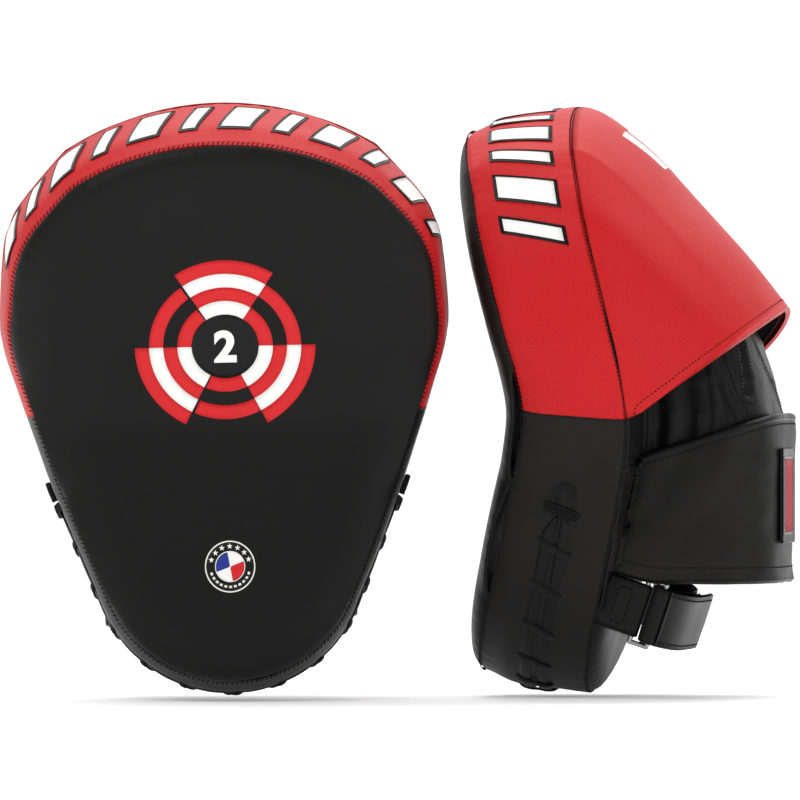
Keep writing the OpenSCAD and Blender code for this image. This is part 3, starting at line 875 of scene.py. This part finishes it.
def hood_grid(seed, cols=160, rows=44):
    edges = zip(*(hood_edges(k) for k in range(HEM_STEPS + 1)))
    sewn, hem = (spline(np.array(e), cols) for e in edges)
    a = np.linspace(0, math.pi, cols)
    v = np.linspace(0, 1, rows)[:, None, None]
    lift = (20 * v * (1 - v) + 48 * v * (1 - v) ** 4) * np.sin(a)[None, :, None]
    out = np.stack([0.5 * np.cos(a), np.full(cols, 0.7), 0.6 * np.sin(a)], -1)[None]
    grid = (1 - v) * sewn + v * hem + lift * out
    places = ((x * 0.02, y * 0.02 + seed, z * 0.02) for x, y, z in grid.reshape(-1, 3))
    wave = noise_at(places, grid.shape[:2])
    hold = np.sin(math.pi * v[..., 0]) ** 0.6
    near = v[..., 0] / 0.055
    puff = 1.2 * near * np.exp(1 - near) * np.sin(a)[None, :] ** 0.5
    return grid + rear_normals(grid) * (1.4 * wave * hold + puff)[..., None]


def beside_hem(grid, n, distance):
    """The line on a grid at an even distance from its last row, and the normals there."""
    line, ups = [], []
    for c in range(grid.shape[1]):
        col = grid[::-1, c]
        at = lengths(col)
        d = min(distance, at[-1] * 0.5)
        line.append(picked(d, at, col))
        ups.append(picked(d, at, n[::-1, c]))
    return np.array(line) + np.array(ups) * 0.05, np.array(ups)


def make_hood(side):
    grid = facing(hood_grid(1.0 if side == "left" else 6.0))
    n = normals_of(grid)
    piece("hood_leather", thick(grid, HOOD_T), side, "red", ["hood"])
    lining = grid[2:-1, 2:-2] - n[2:-1, 2:-2] * (HOOD_T + 0.15)
    piece("hood_inside", thick(lining, 0.7), side, "lining", ["hood_lining"])
    line, up = beside_hem(grid, n, 4.2)
    piece("hood_hem_stitch", stitch_run(line, up, 2.0, 1.2, 0.42, 0, 0.1), side,
          "red_thread")
    make_hood_print(side, grid, n)


def on_rows(grid, r, c):
    """A point of a grid at fractional row and column."""
    i = min(int(r), grid.shape[0] - 2)
    j = min(int(c), grid.shape[1] - 2)
    f, g = r - i, c - j
    return (grid[i, j] * (1 - f) * (1 - g) + grid[i + 1, j] * f * (1 - g)
            + grid[i, j + 1] * (1 - f) * g + grid[i + 1, j + 1] * f * g)


def make_hood_print(side, grid, n):
    """Three slanted bars at the hood's crown."""
    rows, cols = grid.shape[:2]
    white = []
    for c0, c1 in ((0.445, 0.475), (0.487, 0.503), (0.515, 0.545)):
        patch = []
        for q in np.linspace(0.17, 0.36, 12):
            r = q * (rows - 1)
            at = (np.linspace(c0, c1, 8) - 0.12 * (q - 0.265)) * (cols - 1)
            patch.append([on_rows(grid, r, c) + n[int(r), int(c)] * 0.2 for c in at])
        white.append(thick(np.array(patch), 0.35, False, 0.1))
    piece("hood_bars", joined(white), side, "white_ink")


# ---- glove ----


def arch(a, half, y0, y1, z, n=4.0):
    return np.stack([
        half * np.sign(np.cos(a)) * np.abs(np.cos(a)) ** (2 / n),
        y0 + (y1 - y0) * np.abs(np.sin(a)) ** (2 / n),
        np.broadcast_to(z, np.shape(a)),
    ], -1)


def arch_angles(count):
    """Angles that space an arch's points evenly."""
    a = np.linspace(0, math.pi, 2000)
    return evenly(a, arch(a, 55, 0, 55, 0.0), count)


def wrinkled(grid, size, depth, seed, closed=False):
    n = normals_of(grid, closed)
    w = np.array([
        noise.fractal((x * size + seed, y * size, z * size * 1.6), 0.8, 2.0, 3)
        for x, y, z in grid.reshape(-1, 3)
    ]).reshape(grid.shape[:2])
    return grid + n * (w * depth)[..., None]


HAND_ROWS = [(112, 52, 138), (126, 52, 138), (142, 52, 134.5), (157, 51, 129.5), (168, 50, 124.5)]


def back_edge(z, sign):
    """The back seam at a height, on the +x side or the -x side."""
    p = at_depth(rim(s_at_height(z, sign)), 1.0)
    return p + np.array((-1.2 * sign, 1.0, 0))


def flare(foot, z, sign, steps, rise=2.2):
    """Points that carry a panel's foot out over the back panel to the back seam."""
    edge = back_edge(z, sign)
    q = np.linspace(0, 1, steps + 1)[:-1]
    x = edge[0] + (foot[0] - edge[0]) * q
    y = edge[1] + (foot[1] - edge[1]) * q
    y = np.maximum(y, back_surface(x, np.full(steps, z)) + 0.5 + (rise - 1.5) * smooth(q * 1.2))
    return np.stack([x, y, np.full(steps, foot[2])], -1)


def hand_surface(z, cols=110, extra=14):
    """One row of the glove's panel, from the little finger's back seam round to the thumb."""
    table = np.array(HAND_ROWS, float)
    half, rear = (np.interp(z, table[:, 0], table[:, k]) for k in (1, 2))
    row = arch(arch_angles(cols), half, back_y(z) + 2.4, rear, z)
    return np.vstack([flare(row[0], z, 1, extra), row])


def drawn_on(grid, n, corners, count=60, lift=0.05):
    """A line over a grid through corners given as (row, column), and the normals along it."""
    corners = np.array(corners, float)
    at = lengths(corners)
    rc = picked(np.linspace(0, at[-1], count), at, corners)
    line = np.array([on_rows(grid, r, c) for r, c in rc])
    ups = np.array([on_rows(n, r, c) for r, c in rc])
    return line + ups * lift, ups


# The panel's welts, as rows and columns of its grid
WELT_1 = [(0, 33), (11, 33), (35, 34), (59, 34.4)]
WELT_2 = [(0, 43.5), (13, 40), (17, 39), (27, 36.6), (37, 35.8), (59, 36.2)]
WELT_3 = [(0, 88), (17, 81), (26, 74), (39, 64), (59, 52)]


def make_hand_back(side):
    """The soft panel over the back of the hand: folds, two welted seams and a boxed vent."""
    z = np.linspace(106, 172, 60)
    grid = np.array([hand_surface(q) for q in z])
    cols = grid.shape[1]
    # folds that gather between the little finger's seams, and two welts that stand up
    u = np.arange(cols)[None, :]
    row = np.arange(len(z))[:, None]
    low = bell(row - 12, 22)
    folds = (
        1.5 * bell(u - 21 - row * 0.02, 2.0) * low
        - 2.0 * bell(u - 18, 1.6) * low
        - 1.6 * bell(u - 25 - row * 0.04, 1.8) * low
        + 1.0 * bell(u - 28.5 - row * 0.04, 1.6) * low
    )
    for line, side_step in ((WELT_1, 1.5), (WELT_2, 1.6), (WELT_3, 1.8)):
        mid = np.interp(np.arange(len(z)), *np.transpose(line))[:, None]
        folds = folds + 1.1 * bell(u - mid, 0.8)
        folds = folds - 0.9 * bell(u - mid - side_step, 0.9)
    mid = np.interp(np.arange(len(z)), (24, 50), (43.3, 48.0))[:, None]
    slot = np.exp(-((u - mid) / 1.15) ** 4) * smooth((row - 24) / 2)
    grid = grid + rear_normals(grid) * (folds - 2.6 * slot)[..., None]
    grid = wrinkled(facing(grid), 0.045, 0.5, 3.0 if side == "left" else 8.0)
    piece("hand_panel", thick(grid, 2.0), side, "soft", ["hand_back"], mirror=True)
    n = normals_of(grid)
    flip = grid[0, 0, 0] < grid[0, -1, 0]
    box = [(50, 45.4), (22, 41.0), (22, 46.2), (50, 50.6)]
    runs = []
    for corners, count in (
        ([(0, 15.0), (58, 15.0)], 60), ([(0, 16.6), (58, 16.6)], 60),
        ([(r, c - 1.3) for r, c in WELT_1], 60), ([(r, c - 1.3) for r, c in WELT_2], 60),
        ([(r, c + 3.0) for r, c in WELT_2], 60), (box, 90),
    ):
        corners = [(r, cols - 1 - c if flip else c) for r, c in corners]
        line, ups = drawn_on(grid, n, corners, count)
        runs.append(stitch_run(line, ups, 1.8, 1.2, 0.34))
    piece("hand_panel_stitch", joined(runs), side, "black_thread", mirror=True)


STALL_R, STALL_PITCH = 11, 22.3
STALL_LONG = (40, 56, 60, 48)


def stall_shape(r, long, seed):
    """A closed, slightly lumpy tube with its mouth at z = 0."""
    z = np.concatenate([np.linspace(0, long, 22), long + r * np.sin(np.linspace(0.12, 1.5, 9))])
    rad = np.concatenate([np.full(22, r), r * np.cos(np.linspace(0.12, 1.5, 9))])
    a = np.linspace(0, 2 * math.pi, 40, endpoint=False)
    grid = np.stack([
        rad[:, None] * np.cos(a), rad[:, None] * np.sin(a), np.broadcast_to(z[:, None], (len(z), 40))
    ], -1)
    grid = wrinkled(grid, 0.09, 0.7, seed, True)
    return thick(grid, 1.3, True)


def make_stalls(side):
    lean = np.array(Matrix.Rotation(math.radians(24), 3, "X"))
    stalls = []
    for i, long in enumerate(STALL_LONG):
        verts, faces = stall_shape(STALL_R, long, i * 3.3)
        base = np.array(((1.5 - i) * STALL_PITCH, 115 - 3 * abs(i - 1.5), 142))
        stalls.append((verts @ lean.T + base, faces))
    piece("finger_leather", joined(stalls), side, "soft", ["finger_stalls"],
          mirror=True)
    verts, faces = stall_shape(10.8, 18, 20.0)
    base = np.array((-70, KNEE_Y + WALL + 2 + 10.8 + 0.1, 96))
    piece("thumb_leather", (verts + base, faces), side, "soft", ["thumb_stall"],
          mirror=True)


def make_palm_ball(side):
    a = np.linspace(0, 2 * math.pi, 64, endpoint=False)
    b = np.linspace(0.02, 1.5, 24)[:, None]
    r = 30
    centre_y = 72
    x = r * np.cos(b) * np.cos(a)
    z = 92 + r * np.cos(b) * np.sin(a)
    y = centre_y + r * np.sin(b) * np.ones_like(a)
    y = np.maximum(y, back_y(z) + 2.2)
    grid = np.stack([x, y, z], -1)
    verts = grid.reshape(-1, 3)
    faces = grid_faces(24, 64, True)
    faces.append(tuple(range(23 * 64, 24 * 64)))
    faces.append(tuple(range(63, -1, -1)))
    obj = piece("palm_dome", (verts, faces), side, "soft", ["palm_ball"])


# ---- cuff ----

CUFF_HALF, CUFF_Y, CUFF_Z = 58, 143, 55.5
CUFF_FRONT, CUFF_REAR = 104.5, 124


def cuff_top(y):
    return CUFF_FRONT + (CUFF_REAR - CUFF_FRONT) * (y - KNEE_Y - WALL) / (CUFF_Y - KNEE_Y - WALL)


def cuff_surface(a, f):
    """The cuff's outside at an angle round the hand and a share f of its height."""
    p = arch(a, CUFF_HALF, back_y(CUFF_Z) + 2.2, CUFF_Y, CUFF_Z)
    low = CUFF_Z - 4.6 * smooth((p[..., 1] - 68) / 24)
    z = low + f * (cuff_top(p[..., 1]) - low)
    y = np.maximum(p[..., 1], back_y(z) + 2.2)
    return np.stack([p[..., 0], y, z], -1)


def make_cuff(side):
    """The wide padded cuff, sewn into the back seam on both sides."""
    a = arch_angles(150)
    rows = []
    for f in np.linspace(0, 1, 48):
        row = cuff_surface(a, f)
        z0, z1 = row[0, 2], row[-1, 2]
        rows.append(np.vstack([flare(row[0], z0, 1, 14), row, flare(row[-1], z1, -1, 14)[::-1]]))
    grid = facing(np.array(rows))
    cols = grid.shape[1]
    n = normals_of(grid)
    # folds that fan out from each end of the cuff's top edge
    u = np.minimum(np.arange(cols), cols - 1 - np.arange(cols))[None, :]
    f = np.linspace(0, 1, 48)[:, None]
    fan = (
        1.3 * bell(u - 22 - 26 * f, 5.0) * smooth((f - 0.35) / 0.4)
        - 1.0 * bell(u - 12 - 22 * f, 4.0) * smooth((f - 0.35) / 0.4)
        + 0.8 * bell(u - 18 - 6 * f, 4.0) * smooth((f - 0.2) / 0.5)
    )
    grid = wrinkled(grid + n * fan[..., None], 0.02, 1.2, 11.0 if side == "left" else 15.0)
    # The cuff takes the lighter copy of the black leather: painted light.
    obj = piece("cuff_leather", thick(grid, 3.4), side, "black_painted_lighter", ["cuff"])
    n = normals_of(grid)
    lines = []
    for line, up in (beside_hem(grid, n, 2.7), beside_hem(grid[::-1], n[::-1], 6.0)):
        lines.append(stitch_run(line, up, 1.9, 1.2, 0.36))
    piece("cuff_stitch", joined(lines), side, "black_thread")
    top = grid[-1] - n[-1] * 1.7
    piece("cuff_tape", tube(top, 2.1, 12, 1.0, n[-1]), side, "edge", ["cuff_binding"])


def make_cuff_label(side):
    """A framed rubber label on the cuff's rear, a little nearer to the little finger."""

    def plate(x0, x1, inset, y, t, name, look, nodes=()):
        x = np.linspace(x0, x1, 12)[None, :]
        z = np.linspace(68 + inset, 110 - inset, 10)[:, None]
        grid = facing(np.stack(np.broadcast_arrays(x, np.full((10, 12), y), z), -1))
        piece(name, thick(grid, t), side, look, nodes, mirror=True)

    plate(-13, 29, 0, CUFF_Y + 1.5, 1.5, "label_backing", "edge", ["cuff_label"])
    plate(-3, 26.5, 3.6, CUFF_Y + 1.8, 0.6, "label_frame", "silver_ink")
    plate(-1.2, 24.7, 4.6, CUFF_Y + 2.0, 0.5, "label_plate", "label")


# ---- strap ----

STRAP_FROM = np.array((0, 66.5, 43.0))
STRAP_LEAN = np.array(Matrix.Rotation(math.radians(-18.5), 3, "X"))
STRAP_W, STRAP_T, FOLD_IN, STRAP_GAP = 25, 2.5, 2.4, 0.1
STRAP_START, STRAP_END = 36.6, 176
STRAP_HALF, STRAP_DEEP = 56, 29


def strap_point(deg):
    a = np.radians(np.asarray(deg, float))
    c, s = np.cos(a), np.sin(a)
    return np.stack([
        STRAP_HALF * np.sign(c) * np.abs(c) ** (2 / 3.6), STRAP_DEEP * np.abs(s) ** (2 / 3.6)
    ], -1)


def strap_out(deg):
    d = strap_point(np.asarray(deg, float) + 0.5) - strap_point(np.asarray(deg, float) - 0.5)
    d = unit(d)
    return np.stack([d[..., 1], -d[..., 0]], -1)


def in_strap(points):
    return np.asarray(points) @ STRAP_LEAN.T + STRAP_FROM


def set_in_strap(shape):
    return in_strap(shape[0]), shape[1]


def ribbon(path, outs, width, t):
    """A flat strap that follows a path in plan, standing on its edge."""
    k = len(path)
    grid = np.zeros((12, k, 3))
    for i, q in enumerate(np.linspace(-width / 2, width / 2, 12)):
        grid[i, :, :2] = path + outs * (t / 2 - 0.25 * (q / (width / 2)) ** 4)
        grid[i, :, 2] = q
    if float(np.sum(normals_of(grid)[6, k // 2, :2] * outs[k // 2])) < 0:
        grid = grid[:, ::-1]
    return set_in_strap(thick(grid, t, False, 0.3))


BAR = strap_point(STRAP_START) + (STRAP_T / 2 + FOLD_IN + STRAP_GAP) * strap_out(STRAP_START)
FLAP_AT = STRAP_T + 2 * (FOLD_IN + STRAP_GAP)


def strap_angles(a0, a1, count):
    dense = np.linspace(a0, a1, 1500)
    return evenly(dense, strap_point(dense), count)


def make_strap(side):
    deg = strap_angles(STRAP_START, STRAP_END, 110)
    main = ribbon(strap_point(deg), strap_out(deg), STRAP_W, STRAP_T)
    n0 = strap_out(STRAP_START)
    t0 = np.array((n0[1], -n0[0]))
    turn = np.linspace(0, math.pi, 16)[1:]
    fold_out = np.array([n0 * math.cos(q) + t0 * math.sin(q) for q in turn])
    fold = ribbon(BAR + (FOLD_IN + STRAP_GAP + STRAP_T / 2) * fold_out, fold_out, STRAP_W, STRAP_T)
    piece("strap_leather", joined([main, fold]), side, "black", ["wrist_strap"], mirror=True)

    def along(a0, a1, offset, width, t, name, look, node, body):
        d = strap_angles(a0, a1, 60)
        o = strap_out(d)
        shape = ribbon(strap_point(d) + o * offset, o, width, t)
        piece(name, shape, side, look, [node], body, mirror=True)

    tape, pile = STRAP_W - 4, STRAP_T / 2 + 1.2
    along(62, 112, pile, tape, 2.2, "loop_pile", "pile", "loop_patch", "mitt")
    along(62, 103, FLAP_AT - pile, tape, 2.2, "hook_pile", "pile", "hook_patch", "flap")
    along(STRAP_START + 0.3, 106, FLAP_AT, STRAP_W, STRAP_T, "flap_leather", "black",
          "strap_flap", "flap")
    stitches = []
    d = strap_angles(STRAP_START + 2, 104, 90)
    o = strap_out(d)
    for z in (-STRAP_W / 2 + 2, STRAP_W / 2 - 2):
        line = np.concatenate([strap_point(d) + o * (FLAP_AT + STRAP_T / 2), np.full((90, 1), z)], 1)
        up = np.concatenate([o, np.zeros((90, 1))], 1)
        stitches.append(stitch_run(in_strap(line), up @ STRAP_LEAN.T, 3.2, 2.2, 0.4))
    piece("flap_stitch", joined(stitches), side, "black_thread", (), "flap", mirror=True)


def make_tab(side):
    """The folded tab at the back seam, with its box of stitches, and the ring in its fold."""
    ring_in = BAR - np.array((0, 8))
    half, y1 = 2.5, ring_in[1] + 2.7
    z = np.linspace(-11.5, 11.5, 10)
    y = np.linspace(0.5, y1 - half, 14)
    a = np.linspace(0, math.pi, 9)[1:-1]
    loop = [(half, q) for q in y]
    loop += [(half * math.cos(q), y1 - half + half * math.sin(q)) for q in a]
    x, y = np.array(loop + [(-half, q) for q in y[::-1]]).T
    grid = np.stack(np.broadcast_arrays(ring_in[0] + x, y, z[:, None]), -1)
    if normals_of(grid)[5, 5, 0] < 0:
        grid = grid[:, ::-1]
    piece("tab_leather", set_in_strap(thick(grid, 2.0, False, 0.3)), side, "black",
          ["strap_tab"], mirror=True)
    box = [(5, -8), (y1 - 8, -8), (y1 - 8, 8), (5, 8), (5, -8)]
    runs = []
    for (ya, za), (yb, zb) in zip(box, box[1:]):
        q = np.linspace(0, 1, 10)[:, None]
        pts = np.hstack([np.full((10, 1), ring_in[0] + half + 0.05),
                         ya + (yb - ya) * q, za + (zb - za) * q])
        runs.append(stitch_run(in_strap(pts), np.tile((1.0, 0, 0), (10, 1)), 3.0, 2.1, 0.4))
    piece("tab_stitch", joined(runs), side, "black_thread", mirror=True)
    frame["nodes"][f"{side}_strap_ring"].data.materials.clear()
    frame["nodes"][f"{side}_strap_ring"].data.materials.append(LOOK["steel"])


for which in TURNED:
    for make in (make_face, make_walls, make_back, make_seams, make_target, make_badge,
                 make_band_print, make_lacing, make_pull_loops, make_hood, make_hand_back, make_stalls,
                 make_palm_ball, make_cuff, make_cuff_label, make_strap, make_tab):
        make(which)

# ---- camera, floor and light ----

CAMERA_AWAY, CAMERA_X, CAMERA_Z = 5.0, 0.0783, 0.0212
VIEW_WIDE = 0.3622
SENSOR = 36
FLOOR_GAP = 0.001
FLOOR = ((-4, -3), (4, -3), (4, 1.5), (-4, 1.5))
# Each lamp's place from the pair's middle, its size in metres and its power
LAMPS = (
    ("key", (-0.9, -1.5, 1.3), 1.2, 17),
    ("fill", (1.4, -1.2, 0.5), 1.4, 8),
    ("top", (0.1, 0.2, 1.7), 1.4, 8),
    ("behind", (0.2, 1.0, 1.3), 2.0, 24),
)


def studio():
    """A white floor, a surround that is bright behind the mitts and dimmer in front, four lamps."""
    low, high = cad_box
    scene = bpy.context.scene
    mesh = bpy.data.meshes.new("studio_floor")
    mesh.from_pydata([(x, y, low[2] - FLOOR_GAP) for x, y in FLOOR], [], [(0, 1, 2, 3)])
    floor = bpy.data.objects.new("studio_floor", mesh)
    scene.collection.objects.link(floor)
    mesh.materials.append(blank("studio_white").shaded(
        [], Base_Color=(0.93, 0.93, 0.93), Roughness=0.9, Emission_Color=(1, 1, 1),
        Emission_Strength=0.25,
    ))

    sky = Nodes(bpy.data.worlds.new("studio"))
    scene.world = sky.owner
    toward = sky.add("SeparateXYZ", Vector=sky.add("TexCoord").outputs["Generated"]).outputs["Y"]
    level = sky.ranged(toward, From_Min=-0.1, From_Max=0.5, To_Min=0.36, To_Max=1.05)
    sky.put(sky.tree.nodes["Background"], Color=(1, 1, 1), Strength=level)

    aim = Vector(((low[0] + high[0]) / 2, 0, (low[2] + high[2]) / 2))
    for name, at, size, power in LAMPS:
        lamp = bpy.data.lights.new(name, "AREA")
        lamp.energy, lamp.size = power, size
        obj = bpy.data.objects.new(name, lamp)
        obj.location = aim + Vector(at)
        target = aim if name != "behind" else aim + Vector((0, 1.5, 0.2))
        obj.rotation_euler = (target - obj.location).to_track_quat("-Z", "Y").to_euler()
        scene.collection.objects.link(obj)

    cam = bpy.data.cameras.new("camera")
    cam.sensor_width = SENSOR
    cam.lens = SENSOR * CAMERA_AWAY / VIEW_WIDE
    cam.clip_end = 20
    obj = bpy.data.objects.new("camera", cam)
    obj.location = (CAMERA_X, -CAMERA_AWAY, CAMERA_Z)
    obj.rotation_euler = (math.radians(90), 0, 0)
    scene.collection.objects.link(obj)
    scene.camera = obj
    scene.view_settings.view_transform = "Standard"


studio()
